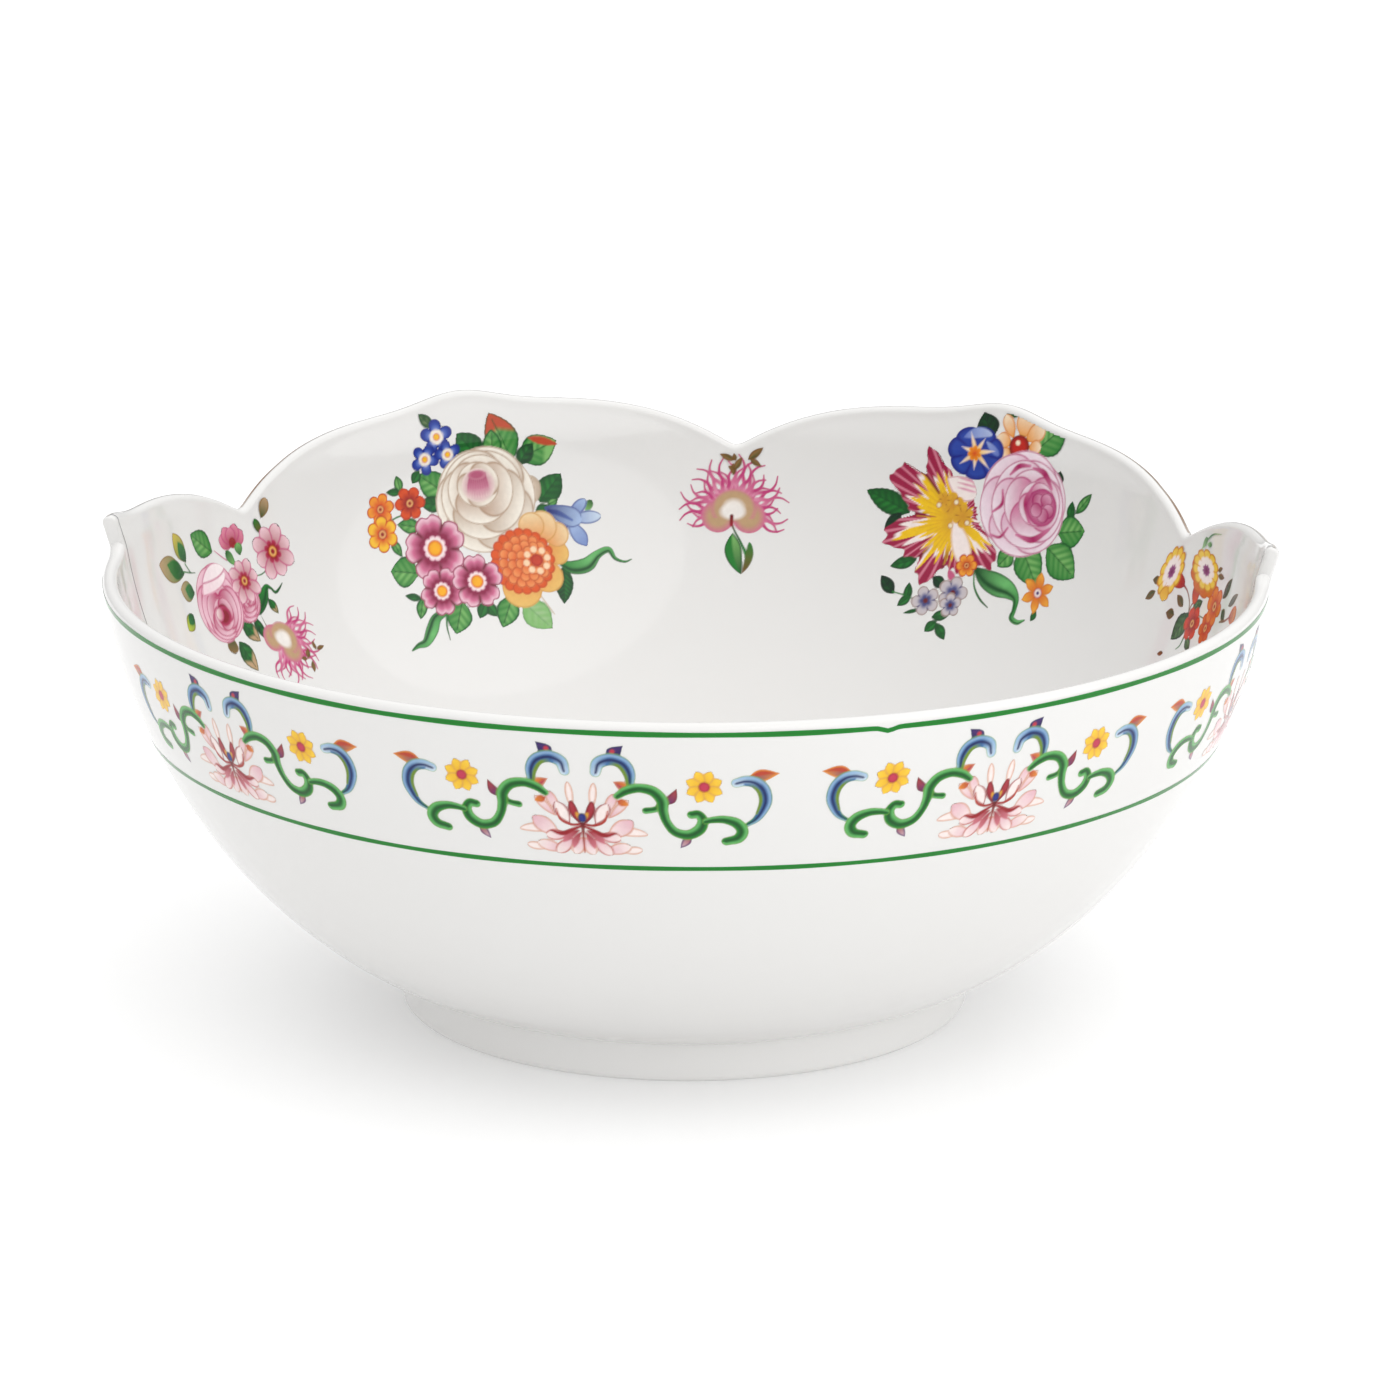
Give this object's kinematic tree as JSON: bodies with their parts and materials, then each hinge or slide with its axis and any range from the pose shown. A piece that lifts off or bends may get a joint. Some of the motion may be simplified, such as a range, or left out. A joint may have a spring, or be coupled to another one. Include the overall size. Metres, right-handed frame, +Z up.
{
  "type": "porcelain serving bowl",
  "caption": "Round porcelain serving bowl on a foot ring, one half with a plain rim and banded frieze, the other with a taller scalloped rim and floral sprays inside.",
  "frame": {"origin": "centre of the foot ring's resting face", "axes": "+Z up along the foot's axis; the seam between the two halves lies in the XZ plane, with the round half on -Y and the scalloped half on +Y"},
  "size_m": [0.2952, 0.2901, 0.1248],
  "materials": {
    "porcelain_foot": "clear gloss glaze over white porcelain, wiped bare on the resting face",
    "porcelain_round": "clear gloss glaze over white porcelain",
    "porcelain_scalloped": "clear gloss glaze over white porcelain",
    "gilt": "thin fired gilt line, brown gold, satin",
    "green_enamel": "fired green enamel line, glossy",
    "grey_enamel": "hair-fine fired grey line, glossy",
    "scroll_enamels": "fired transfer print in green, blue, pink and yellow enamels, glossy",
    "flower_enamels": "fired transfer print in pinks, crimson, blue, yellow and leaf greens, glossy",
    "orange_enamels": "fired transfer print in orange, iron red, yellow and olive green, glossy"
  },
  "bodies": {
    "root": {"foot_ring": "porcelain_foot", "round_wall": "porcelain_round", "scalloped_wall": "porcelain_scalloped", "gilt_rim_line": "gilt", "green_line_upper": "green_enamel", "green_line_lower": "green_enamel", "seam_line_left": "grey_enamel", "seam_line_right": "grey_enamel", "lotus_scroll_1": "scroll_enamels", "lotus_scroll_2": "scroll_enamels", "lotus_scroll_3": "scroll_enamels", "lotus_scroll_4": "scroll_enamels", "rose_bouquet": "flower_enamels", "tulip_bouquet": "flower_enamels", "thistle_sprig": "flower_enamels", "rose_spray": "flower_enamels", "trumpet_flower_spray": "orange_enamels", "poppy_spray_left": "orange_enamels", "poppy_spray_centre": "orange_enamels", "poppy_spray_right": "orange_enamels"}
  },
  "joints": []
}
